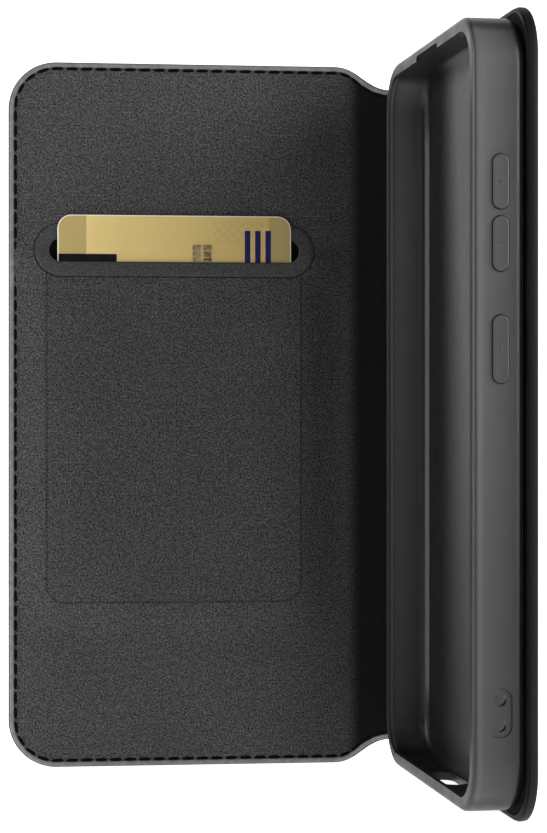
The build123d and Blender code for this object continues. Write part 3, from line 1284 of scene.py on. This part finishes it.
@dataclass(frozen=True)
class CoverOutline:
    """The whole cover's outline, laid flat, with its notched spine."""

    left: float = -100.0
    right: float = 80.1
    height: float = 162.5
    corner: float = 11.0
    middle: float = -10.0
    notch_half: float = 14.5
    notch_depth: float = 5.8
    notch_bend: float = 0.45

    def drop(self, u: float) -> float:
        """How far the edge dips at a place along the cover.

        Args:
            u: The place.

        Returns:
            The dip.
        """
        run = self.notch_half - abs(u - self.middle)
        if run <= 0.0:
            return 0.0
        first = self.notch_half * self.notch_bend
        second = self.notch_half - first
        low, high = 0.0, 1.0
        for _ in range(40):
            t = (low + high) / 2
            reach = 3 * (1 - t) ** 2 * t * first + 3 * (1 - t) * t * t * second
            reach += t**3 * self.notch_half
            low, high = (t, high) if reach < run else (low, t)
        return self.notch_depth * (3 * low * low - 2 * low**3)

    def blank(self) -> bmesh.types.BMesh:
        """The outline as one face.

        Returns:
            The mesh.
        """
        middle = (self.left + self.right) / 2
        bm = oblong(self.right - self.left, self.height, self.corner, 18, (middle, 0.0))
        low, high = self.middle - self.notch_half, self.middle + self.notch_half
        score(bm, 0, spread(low, high, 0.9))
        for vert in bm.verts:
            vert.co.y *= 1.0 - self.drop(vert.co.x) / (self.height / 2)
        bmesh.ops.dissolve_faces(bm, faces=bm.faces[:], use_verts=False)
        return bm

    def loop(self, inset: float) -> list[Vector]:
        """The outline pulled in by an inset.

        Args:
            inset: How far in.

        Returns:
            Its corners in order.
        """
        bm = self.blank()
        face = bm.faces[:][0]
        bmesh.ops.inset_region(
            bm, faces=[face], thickness=inset, use_even_offset=True, use_boundary=True
        )
        corners = [vert.co.copy() for vert in face.verts]
        bm.free()
        return corners

    def sheet(
        self,
        half: Half,
        inset: float,
        rings: Sequence[float],
        across: Iterable[float],
        up: Iterable[float],
    ) -> bmesh.types.BMesh:
        """Half of a layer of the cover, ringed along its edge and cut into a grid.

        Args:
            half: Which half.
            inset: How far the layer stays in from the outline.
            rings: Distances of the rings from the outline.
            across: Places of the upright cuts.
            up: Heights of the level cuts.

        Returns:
            The mesh, flat.
        """
        bm = self.blank()
        ring_in(bm, 0.0, [inset, *rings] if inset > 0.0 else rings)
        layer = bm.verts.layers.float["edge"]
        if inset > 0.0:
            outer = [v for v in bm.verts if v[layer] < inset - 1e-6]
            bmesh.ops.delete(bm, geom=outer, context="VERTS")
        side = 1.0 if half is Half.FRONT else -1.0
        bmesh.ops.bisect_plane(
            bm,
            geom=bm.verts[:] + bm.edges[:] + bm.faces[:],
            dist=1e-5,
            plane_co=(self.middle, 0.0, 0.0),
            plane_no=(side, 0.0, 0.0),
            clear_outer=True,
        )
        score(bm, 0, across)
        score(bm, 1, up)
        return bm

    def part_seam(self, bm: bmesh.types.BMesh) -> None:
        """Keeps the shading even where the two halves meet.

        Args:
            bm: A half's mesh, still flat.
        """
        for edge in bm.edges:
            if all(abs(vert.co.x - self.middle) < 1e-3 for vert in edge.verts):
                edge.smooth = False


# ------------------------------------------------------------ the card's slot


@dataclass(frozen=True)
class CardSlot:
    """The card slot: raised pocket, ring and backing, on the front panel."""

    path: CoverPath
    middle_u: float = -61.8
    slot_z: float = 37.9
    slot_length: float = 57.8
    slot_height: float = 5.4
    band: float = 3.7
    pocket_half: float = 29.4
    pocket_bottom: float = -43.2
    pocket_corner: float = 4.0
    base: float = 2.3
    rise: float = 1.51
    ramp: float = 8.0
    crown: float = 0.17

    def outside(self, u: float, z: float) -> float:
        """Distance outside the raised pocket and the ring's lower half.

        Args:
            u: Place along the cover.
            z: Height.

        Returns:
            The distance, 0 inside.
        """
        side = abs(u - self.middle_u)
        top = self.slot_z + self.slot_height
        half = (top - self.pocket_bottom) / 2
        down = abs(z - (top + self.pocket_bottom) / 2)
        out_u = max(0.0, side - self.pocket_half + self.pocket_corner)
        out_z = max(0.0, down - half + self.pocket_corner)
        pocket = math.hypot(out_u, out_z) - self.pocket_corner
        radius = self.slot_height / 2 + self.band
        end = self.slot_length / 2 - self.slot_height / 2
        ring = math.hypot(max(0.0, side - end), z - self.slot_z) - radius
        return max(0.0, min(pocket, ring))

    def level(self, u: float, z: float) -> float:
        """Depth of the lining's inner face over the pocket.

        Args:
            u: Place along the cover.
            z: Height.

        Returns:
            The depth.
        """
        share = min(1.0, self.outside(u, z) / self.ramp)
        step = 1.0 - 0.55 * share - 0.45 * smooth_step(0.0, 1.0, share)
        low, high = self.slot_z - self.slot_height / 2, self.slot_z + self.slot_height / 2
        return self.base + self.rise * step * (1.0 - smooth_step(low, high, z))

    def cuts(self) -> tuple[list[float], list[float]]:
        """Places where the lining needs finer cuts.

        Returns:
            Places along the cover, and heights.
        """
        across, up = [], []
        for side in (-1.0, 1.0):
            edge = self.middle_u + side * self.pocket_half
            across += [edge + side * 0.8 * step for step in range(-1, 11)]
        up += [self.pocket_bottom - 0.8 * step for step in range(-6, 11)]
        up += spread(self.slot_z - 7.5, self.slot_z + 7.5, 0.6)
        return across, up

    def open_lining(self, bm: bmesh.types.BMesh) -> None:
        """Opens the lining under the ring.

        Args:
            bm: The lining, flat, with cuts at the opening's edges.
        """
        gone = [
            face
            for face in bm.faces
            if abs(face.calc_center_median().x - self.middle_u) < self.slot_length / 2 + 1.6
            and abs(face.calc_center_median().y - self.slot_z) < self.slot_height / 2 + 1.3
        ]
        bmesh.ops.delete(bm, geom=gone, context="FACES")

    def ring(self, finish: bpy.types.Material) -> bpy.types.Object:
        """The slot's ring, behind the card above and in front of it below.

        Args:
            finish: Its material.

        Returns:
            The piece.
        """
        length = self.slot_length + 2 * self.band
        height = self.slot_height + 2 * self.band
        bm = oblong(length, height, height / 2, 26, (self.middle_u, self.slot_z))
        rings = [0.12, 0.30, 0.42, 0.62, 0.95, 1.6, 2.8, 3.2, 3.45, 3.6, self.band]
        ring_in(bm, 0.0, rings)
        inner = max(bm.faces, key=lambda face: len(face.verts))
        bmesh.ops.delete(bm, geom=[inner], context="FACES")
        end = length / 2 - height / 2
        score(bm, 0, [self.middle_u + x for x in spread(-end, end, 1.6)])
        section = (
            (0.0, -0.06),
            (0.12, 0.02),
            (0.30, 0.0),
            (0.42, -0.14),
            (0.62, 0.08),
            (0.95, 0.14),
            (1.6, self.crown),
            (2.8, self.crown),
            (3.2, 0.16),
            (3.45, 0.12),
            (3.6, 0.04),
            (self.band, -0.10),
        )
        thicken(
            bm,
            lambda d, u, z: self.level(u, z) + along_profile(section, d),
            lambda d, u, z: self.level(u, z) - 0.33,
        )
        lay_uv(bm)
        self.path.wrap(bm)
        crease(bm, 75.0)
        made = piece("slot_ring", bm, finish)
        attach(made, "flap")
        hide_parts("slot_bezel")
        return made

    def backing(self, finish: bpy.types.Material) -> bpy.types.Object:
        """The sheet behind the card.

        Args:
            finish: Its material.

        Returns:
            The piece.
        """
        top = self.slot_z + self.slot_height / 2 + 1.3
        width, height = self.slot_length + 3.2, top - self.pocket_bottom
        centre = (self.middle_u, (top + self.pocket_bottom) / 2)
        bm = oblong(width, height, 1.0, 4, centre)
        ring_in(bm, 5.0, [5.4, 6.0])
        score(bm, 0, [self.middle_u + x for x in spread(-24.0, 24.0, 6.0)])
        score(bm, 1, spread(self.pocket_bottom + 6.0, top - 6.0, 6.0))
        thicken(bm, lambda d, u, z: self.base - 0.05, lambda d, u, z: self.base - 0.48)
        lay_uv(bm)
        self.path.wrap(bm)
        crease(bm, 60.0)
        made = piece("pocket_backing", bm, finish)
        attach(made, "flap")
        return made


# ------------------------------------------------------------------ the cover


@dataclass(frozen=True)
class Cover:
    """Leather, lining and stitching of the whole cover."""

    outline: CoverOutline
    path: CoverPath
    slot: CardSlot
    leather_section: Profile = (
        (0.0, 0.50),
        (0.10, 0.26),
        (0.28, 0.10),
        (0.55, 0.02),
        (1.1, 0.0),
        (1.6, 0.12),
        (2.1, 0.0),
        (9.0, 0.0),
    )
    hem_section: Profile = ((0.0, 1.42), (0.10, 1.66), (0.28, 1.78), (3.3, 1.8), (3.42, 0.8))
    lining_section: Profile = (
        (0.25, -0.22),
        (0.34, -0.10),
        (0.50, -0.01),
        (0.80, 0.05),
        (1.12, 0.04),
        (1.34, -0.05),
        (1.60, -0.13),
        (1.86, -0.07),
        (2.20, 0.0),
        (9.0, 0.0),
    )
    lining_thickness: float = 0.5
    grid: float = 3.0
    fold_step: float = 0.4
    window_u: float = 58.7
    window_z: float = 61.0
    window_width: float = 27.0
    window_height: float = 13.0
    window_corner: float = 4.5
    stitch_inset: float = 1.6
    stitch_pitch: float = 3.35
    stitch_length: float = 2.7
    stitch_width: float = 0.78
    stitch_height: float = 0.60
    stitch_outer: float = 0.04
    stitch_slant: float = 0.02
    stitch_inside_end: float = -3.0

    def across(self, half: Half) -> list[float]:
        """Upright cuts of a half, fine at its fold.

        Args:
            half: Which half.

        Returns:
            Their places.
        """
        fold = self.path.near if half is Half.BACK else self.path.far
        fine = spread(fold.u - fold.reach, fold.u + fold.reach, self.fold_step)
        if half is Half.FRONT:
            coarse = spread(self.outline.left + 5.0, fold.u - fold.reach - 1.0, self.grid)
            coarse += spread(fold.u + fold.reach + 1.2, self.outline.middle - 1.2, self.grid)
        else:
            coarse = spread(self.outline.middle + 1.2, fold.u - fold.reach - 1.2, self.grid)
            coarse += spread(fold.u + fold.reach + 1.0, self.outline.right - 5.0, self.grid)
        return fine + coarse

    def heights(self) -> list[float]:
        """Level cuts of a half.

        Returns:
            Their heights.
        """
        reach = self.outline.height / 2 - 12.0
        return spread(-reach, reach, self.grid)

    def window_cuts(self) -> tuple[list[float], list[float]]:
        """Cuts along the camera window's edges.

        Returns:
            Places along the cover, and heights.
        """
        half_w, half_h = self.window_width / 2, self.window_height / 2
        across, up = [], []
        for side in (-1.0, 1.0):
            for step in range(0, 6):
                inward = self.window_corner * step / 5
                across.append(self.window_u + side * (half_w - inward))
                up.append(self.window_z + side * (half_h - inward))
        return across, up

    def open_window(self, bm: bmesh.types.BMesh) -> None:
        """Opens the camera window and rounds its corners.

        Args:
            bm: The back half's mesh, flat, with the window's cuts.
        """
        half_w, half_h = self.window_width / 2, self.window_height / 2
        gone = []
        for face in bm.faces:
            spot = face.calc_center_median()
            if abs(spot.x - self.window_u) < half_w and abs(spot.y - self.window_z) < half_h:
                gone.append(face)
        bmesh.ops.delete(bm, geom=gone, context="FACES")
        core_w, core_h = half_w - self.window_corner, half_h - self.window_corner
        for vert in bm.verts:
            x, y = vert.co.x - self.window_u, vert.co.y - self.window_z
            on_edge = abs(x) < half_w + 1e-3 and abs(y) < half_h + 1e-3
            if on_edge and abs(x) > core_w + 1e-3 and abs(y) > core_h + 1e-3:
                arm_x, arm_y = abs(x) - core_w, abs(y) - core_h
                grow = self.window_corner / math.hypot(arm_x, arm_y)
                vert.co.x = self.window_u + math.copysign(core_w + arm_x * grow, x)
                vert.co.y = self.window_z + math.copysign(core_h + arm_y * grow, y)

    def leather(self, half: Half, finish: bpy.types.Material) -> bpy.types.Object:
        """Outer skin of one half, with its turned-in hem.

        Args:
            half: Which half.
            finish: Its material.

        Returns:
            The piece.
        """
        across, up = self.across(half), self.heights()
        if half is Half.BACK:
            more_across, more_up = self.window_cuts()
            across, up = more_across + across, more_up + up
        rings = [0.10, 0.28, 0.55, 1.1, 1.6, 2.1, 3.3, 3.42, 4.2]
        bm = self.outline.sheet(half, 0.0, rings, thin_out(across, 0.3), thin_out(up, 0.3))
        if half is Half.BACK:
            self.open_window(bm)
        thicken(
            bm,
            lambda d, u, z: along_profile(self.hem_section, d),
            lambda d, u, z: along_profile(self.leather_section, d),
        )
        return self.settle(f"leather_{half.value}", bm, half, finish, "cover_leather")

    def lining(self, half: Half, finish: bpy.types.Material) -> bpy.types.Object:
        """Inner cloth of one half.

        Args:
            half: Which half.
            finish: Its material.

        Returns:
            The piece.
        """
        across, up = self.across(half), self.heights()
        if half is Half.FRONT:
            more_across, more_up = self.slot.cuts()
            wide = self.slot.slot_length / 2 + 1.6
            tall = self.slot.slot_height / 2 + 1.3
            edges = [self.slot.middle_u - wide, self.slot.middle_u + wide]
            across = [a for a in across if all(abs(a - e) > 0.3 for e in edges + more_across)]
            more_across = [a for a in more_across if all(abs(a - e) > 0.15 for e in edges)]
            across += more_across + edges
            shelf = [self.slot.slot_z - tall, self.slot.slot_z + tall]
            up = [z for z in up if all(abs(z - e) > 0.3 for e in shelf + more_up)]
            more_up = [z for z in more_up if all(abs(z - e) > 0.15 for e in shelf)]
            up += more_up + shelf
        else:
            more_across, more_up = self.window_cuts()
            across, up = more_across + across, more_up + up
        rings = [0.34, 0.50, 0.80, 1.12, 1.34, 1.60, 1.86, 2.20, 3.0, 4.2]
        bm = self.outline.sheet(half, 0.25, rings, thin_out(across, 0.05), thin_out(up, 0.05))
        if half is Half.FRONT:
            self.slot.open_lining(bm)
            level = self.slot.level
        else:
            self.open_window(bm)
            level = self.plain_level
        thicken(
            bm,
            lambda d, u, z: level(u, z) + along_profile(self.lining_section, d),
            lambda d, u, z: level(u, z) - self.thickness_at(level(u, z)),
        )
        return self.settle(f"lining_{half.value}", bm, half, finish, "lining")

    def thickness_at(self, level: float) -> float:
        """The lining's thickness, which thins a little where it is raised."""
        return self.lining_thickness - 0.1 * (level - self.slot.base)

    def plain_level(self, u: float, z: float) -> float:
        """Depth of the lining's inner face away from the pocket."""
        return self.slot.base

    def settle(
        self,
        name: str,
        bm: bmesh.types.BMesh,
        half: Half,
        finish: bpy.types.Material,
        slot: str,
    ) -> bpy.types.Object:
        """Args:
            name: The piece's name.
            bm: Its flat mesh.
            half: Which half.
            finish: Its material.
            slot: The record's material slot.

        Returns:
            The piece.
        """
        self.outline.part_seam(bm)
        lay_uv(bm)
        self.path.wrap(bm)
        made = piece(name, bm, finish)
        self.path.bend(made, half)
        panel = "front" if half is Half.FRONT else "back"
        layer = "leather" if slot == "cover_leather" else "lining"
        nodes = [f"{panel}_{layer}", f"spine_{layer}"]
        if half is Half.FRONT and layer == "lining":
            nodes.append("card_pocket")
        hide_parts(*nodes)
        return made

    def one_stitch(self) -> bpy.types.Mesh:
        """A stitch with round ends, lying along x.

        Returns:
            The mesh.
        """
        bm = bmesh.new()
        turn = Matrix.Rotation(math.radians(90), 4, "Y")
        bmesh.ops.create_uvsphere(bm, u_segments=8, v_segments=6, radius=1.0, matrix=turn)
        for vert in bm.verts:
            vert.co.x = math.copysign(abs(vert.co.x) ** 0.55, vert.co.x)
        size = (self.stitch_length / 2, self.stitch_width / 2, self.stitch_height / 2)
        bmesh.ops.scale(bm, vec=size, verts=bm.verts)
        mesh = bpy.data.meshes.new("one_stitch")
        bm.to_mesh(mesh)
        bm.free()
        return mesh

    def stitch_spots(self) -> list[tuple[Vector, float]]:
        """Places and turns of all stitches on the flat cover.

        Returns:
            Pairs of a place and a turn in radians.
        """
        loop = self.outline.loop(self.stitch_inset)
        sides = list(zip(loop, loop[1:] + loop[:1]))
        total = sum((b - a).length for a, b in sides)
        count = round(total / self.stitch_pitch)
        spots, walked, index = [], 0.0, 0
        for a, b in sides:
            step = (b - a).length
            while index < count and (index + 0.5) * total / count <= walked + step:
                share = ((index + 0.5) * total / count - walked) / step
                turn = math.atan2((b - a).y, (b - a).x)
                spots.append((a.lerp(b, share), turn))
                index += 1
            walked += step
        return spots

    def stitching(self, half: Half, finish: bpy.types.Material) -> bpy.types.Object:
        """Stitches of one half, on both faces.

        Args:
            half: Which half.
            finish: Their material.

        Returns:
            The piece.
        """
        pattern = self.one_stitch()
        bm = bmesh.new()
        for spot, turn in self.stitch_spots():
            front = spot.x < self.outline.middle
            if front != (half is Half.FRONT):
                continue
            depths = (self.stitch_outer, self.slot.base)
            for depth in depths[: 2 if spot.x < self.stitch_inside_end else 1]:
                bm.verts.ensure_lookup_table()
                known = len(bm.verts)
                bm.from_mesh(pattern)
                bm.verts.ensure_lookup_table()
                fresh = bm.verts[known:]
                lie = Matrix.Rotation(turn + self.stitch_slant, 3, "Z")
                bmesh.ops.rotate(bm, verts=fresh, matrix=lie)
                bmesh.ops.translate(bm, verts=fresh, vec=(spot.x, spot.y, depth))
        bpy.data.meshes.remove(pattern)
        lay_uv(bm)
        self.path.wrap(bm)
        made = piece(f"stitching_{half.value}", bm, finish)
        self.path.bend(made, half)
        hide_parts(f"{half.value}_stitching", "spine_stitching")
        return made


# ------------------------------------------------------------------- the card


@dataclass(frozen=True)
class DisplayCard:
    """The blank card in the slot."""

    path: CoverPath
    middle_u: float = -61.8
    top_z: float = 46.0
    width: float = 53.98
    length: float = 85.6
    corner: float = 3.18
    back: float = 2.60
    thickness: float = 0.76
    round_over: float = 0.12
    bar_size: tuple[float, float] = (1.9, 0.55)
    bar_corner: float = 0.27
    bar_rings: tuple[float, float] = (0.12, 0.2)
    bar_rows: int = 4
    bar_columns: int = 2
    bar_pitch: tuple[float, float] = (2.5, 1.5)
    bar_left: float = 32.0
    bar_top: float = 7.4

    def centre(self) -> tuple[float, float]:
        """Middle of the card, on the flat cover."""
        return self.middle_u, self.top_z - self.length / 2

    def slab(self, finish: bpy.types.Material) -> bpy.types.Object:
        """The card itself.

        Args:
            finish: Its material.

        Returns:
            The piece.
        """
        bm = oblong(self.width, self.length, self.corner, 10, self.centre())
        raised = bmesh.ops.extrude_face_region(bm, geom=bm.faces[:])
        above = [g for g in raised["geom"] if isinstance(g, bmesh.types.BMVert)]
        bmesh.ops.translate(bm, verts=bm.verts[:], vec=(0.0, 0.0, self.back))
        bmesh.ops.translate(bm, verts=above, vec=(0.0, 0.0, self.thickness))
        rims = [
            edge
            for edge in bm.edges
            if abs(edge.verts[0].co.z - edge.verts[1].co.z) < 1e-6
        ]
        bmesh.ops.bevel(
            bm,
            geom=rims,
            offset=self.round_over,
            offset_type="OFFSET",
            segments=3,
            profile=0.5,
            affect="EDGES",
            material=-1,
        )
        lay_uv(bm)
        self.path.wrap(bm)
        crease(bm, 40.0)
        made = piece("card_slab", bm, finish)
        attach(made, "card")
        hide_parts("card_body")
        return made

    def relief(self, finish: bpy.types.Material) -> bpy.types.Object:
        """Plain embossed bars near the card's middle, as on any pressed card.

        Args:
            finish: Their material.

        Returns:
            The piece.
        """
        bm = bmesh.new()
        left = self.middle_u - self.width / 2 + self.bar_left
        ridge = self.bar_rings[0]
        for row in range(self.bar_rows):
            for column in range(self.bar_columns):
                fresh = add_bar(
                    bm,
                    self.bar_size,
                    self.bar_corner,
                    self.bar_rings,
                    lambda d, u, z: 0.02 + 0.16 * min(1.0, d / ridge),
                    -0.1,
                )
                spot = (
                    left + self.bar_pitch[0] * column,
                    self.top_z - self.bar_top - self.bar_pitch[1] * row,
                    self.back + self.thickness,
                )
                bmesh.ops.translate(bm, verts=fresh, vec=spot)
        lay_uv(bm)
        self.path.wrap(bm)
        made = piece("card_relief", bm, finish)
        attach(made, "card")
        return made


# ------------------------------------------------------------------- the tray


class ButtonMark(Enum):
    """The plain sign raised on a button."""

    PLUS = "plus"
    MINUS = "minus"
    BAR = "bar"


@dataclass(frozen=True)
class PhoneTray:
    """The moulded tray and its buttons."""

    mark_length: float = 1.7
    mark_width: float = 0.3
    mark_height: float = 0.07

    def bar(self, bm: bmesh.types.BMesh, length: float, width: float) -> None:
        """Adds one raised bar to a mark.

        Args:
            bm: The mark's mesh, in a plane of x along the tray's depth.
            length: Size along x.
            width: Size along y.
        """
        corner = min(length, width) * 0.4
        height = self.mark_height
        add_bar(
            bm,
            (length, width),
            corner,
            [0.05],
            lambda d, u, z: height * (0.5 if d < 0.01 else 1.0),
            -0.08,
        )

    def mark(self, node: str, kind: ButtonMark, finish: bpy.types.Material) -> bpy.types.Object:
        """The raised sign on one button.

        Args:
            node: The button's CAD node.
            kind: Which sign.
            finish: Its material.

        Returns:
            The piece.
        """
        low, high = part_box(node)
        bm = bmesh.new()
        bm.verts.layers.float.new("edge")
        if kind is not ButtonMark.BAR:
            self.bar(bm, self.mark_length, self.mark_width)
        if kind is not ButtonMark.MINUS:
            self.bar(bm, self.mark_width, self.mark_length)
        middle = (low + high) / 2
        for vert in bm.verts:
            across, up, out = vert.co
            vert.co = Vector((high.x + out * MM, middle.y + across * MM, middle.z + up * MM))
        made = piece(node.replace("_button", "_mark"), bm, finish)
        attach(made, node.replace("_button", ""))
        return made


# ----------------------------------------------------------------- the studio


@dataclass(frozen=True)
class Studio:
    """Floor, backdrop, lights and camera."""

    eye: tuple[float, float, float] = (0.44275, -0.11906, -0.00044)
    look: tuple[float, float, float] = (-0.98523, 0.17125, 0.0)
    lens: float = 92.72
    world: float = 0.10

    def floor(self, finish: bpy.types.Material) -> None:
        """A floor that curves up into a backdrop.

        Args:
            finish: Its material.
        """
        bm = bmesh.new()
        bmesh.ops.create_grid(bm, x_segments=1, y_segments=1, size=2.5)
        far = [edge for edge in bm.edges if all(v.co.x < -2.4 for v in edge.verts)]
        lifted = bmesh.ops.extrude_edge_only(bm, edges=far)
        fresh = [g for g in lifted["geom"] if isinstance(g, bmesh.types.BMVert)]
        bmesh.ops.translate(bm, verts=fresh, vec=(0.0, 0.0, 3.0))
        bmesh.ops.bevel(
            bm,
            geom=far,
            offset=1.0,
            offset_type="OFFSET",
            segments=16,
            profile=0.5,
            affect="EDGES",
            material=-1,
        )
        bmesh.ops.translate(bm, verts=bm.verts, vec=(0.6, 0.0, CAD_BOX[0].z))
        for face in bm.faces:
            face.smooth = True
        mesh = bpy.data.meshes.new("studio_floor")
        bm.to_mesh(mesh)
        bm.free()
        mesh.materials.append(finish)
        made = bpy.data.objects.new("studio_floor", mesh)
        bpy.context.scene.collection.objects.link(made)

    def lamp(
        self,
        name: str,
        spot: tuple[float, float, float],
        aim: tuple[float, float, float],
        size: tuple[float, float],
        power: float,
    ) -> None:
        """A soft box.

        Args:
            name: The light's name.
            spot: Where it stands.
            aim: What it points at.
            size: Its width and height.
            power: Its power in watts.
        """
        light = bpy.data.lights.new(name, "AREA")
        light.shape = "RECTANGLE"
        light.size, light.size_y = size
        light.energy = power
        made = bpy.data.objects.new(name, light)
        made.location = spot
        toward = Vector(aim) - Vector(spot)
        made.rotation_euler = toward.to_track_quat("-Z", "Y").to_euler()
        bpy.context.scene.collection.objects.link(made)

    def lights(self) -> None:
        """An even pale surround, with large soft boxes at +Y and -Y and a small one at +X."""
        world = bpy.data.worlds.new("studio_air")
        world.use_nodes = True
        air = world.node_tree.nodes["Background"]
        air.inputs["Color"].default_value = (1.0, 1.0, 1.0, 1.0)
        air.inputs["Strength"].default_value = self.world
        bpy.context.scene.world = world
        self.lamp("side_box", (0.62, 0.84, 0.35), (-0.05, -0.03, 0.0), (0.7, 0.7), 14.0)
        self.lamp("flap_box", (-0.05, -1.1, 0.30), (0.0, 0.0, 0.0), (0.5, 0.7), 9.0)
        self.lamp("near_box", (0.95, -0.14, 0.42), (0.0, 0.0, 0.0), (0.22, 0.4), 1.0)

    def camera(self) -> None:
        """The camera, level and straight."""
        data = bpy.data.cameras.new("camera")
        data.lens = self.lens
        data.sensor_width = 36.0
        data.clip_start, data.clip_end = 0.01, 50.0
        made = bpy.data.objects.new("camera", data)
        made.location = self.eye
        made.rotation_euler = Vector(self.look).to_track_quat("-Z", "Y").to_euler()
        bpy.context.scene.collection.objects.link(made)
        bpy.context.scene.camera = made


@dataclass
class Dresser:
    """Gives the frame's own nodes their finishes."""

    finishes: dict[str, bpy.types.Material]

    def dress(self) -> None:
        """Sets each node's material by its slot in the record."""
        slots = {p["node"]: p["material_slot"] for p in frame["record"]["subparts"]}
        for name, node in frame["nodes"].items():
            node.data.materials.clear()
            node.data.materials.append(self.finishes[slots[name]])
            log.info("%s wears %s", name, slots[name])


def main() -> None:
    """Builds the case's looks, piece by piece."""
    logging.basicConfig(level=logging.INFO, format="%(name)s: %(message)s")
    outline, path = CoverOutline(), CoverPath()
    slot = CardSlot(path)
    cover = Cover(outline, path, slot)
    card = DisplayCard(path)
    tray = PhoneTray()
    studio = Studio()

    # The tray and the buttons both carry RubberFinish's painted light and shade.
    button = RubberFinish("button", 0.36)
    finishes = {
        "tray": RubberFinish("tray", 0.40).material(),
        "button": button.material(),
        "adhesive": GlueFinish().material(),
        "cover_leather": LeatherFinish().material(),
        "board": BoardFinish().material(),
        "lining": LiningFinish().material(),
        "keeper_steel": MetalFinish(
            "keeper_steel", (0.4, 0.4, 0.41), (0.6, 0.6, 0.6), 0.3
        ).material(),
        "magnet": MetalFinish(
            "magnet", (0.5, 0.5, 0.51), (0.66, 0.66, 0.66), 0.2
        ).material(),
        "thread": ThreadFinish().material(),
        "pocket_cloth": LiningFinish(
            "pocket_cloth", low=(0.001, 0.001, 0.001), high=(0.010, 0.010, 0.0105)
        ).material(),
        # The back half's lining is a copy with its rim painted near-black: painted shade beside the tray.
        "hidden_rim": LiningFinish("lining_back", rim=(0.004, 0.004, 0.0042)).material(),
        "bezel": LiningFinish(
            "bezel", low=(0.030, 0.0303, 0.031), high=(0.118, 0.119, 0.121), ring=True
        ).material(),
        "card": CardFinish(card.centre(), (card.width, card.length)).material(),
        "contact_plate": MetalFinish(
            "contact_plate", (0.80, 0.62, 0.30), (0.95, 0.82, 0.52), 0.48
        ).material(),
        "card_stripe": StripeFinish().material(),
    }
    Dresser(finishes).dress()
    for half in Half:
        cover.leather(half, finishes["cover_leather"])
        cover.lining(half, finishes["lining" if half is Half.FRONT else "hidden_rim"])
        cover.stitching(half, finishes["thread"])
    slot.ring(finishes["bezel"])
    slot.backing(finishes["pocket_cloth"])
    card.slab(finishes["card"])
    card.relief(finishes["contact_plate"])
    for node, kind in (
        ("volume_up_button", ButtonMark.PLUS),
        ("volume_down_button", ButtonMark.MINUS),
        ("power_button", ButtonMark.BAR),
    ):
        tray.mark(node, kind, finishes["button"])
    studio.floor(StudioFinish().material())
    studio.lights()
    studio.camera()
    bpy.context.scene.view_settings.view_transform = "Standard"


if __name__ == "__main__":
    main()
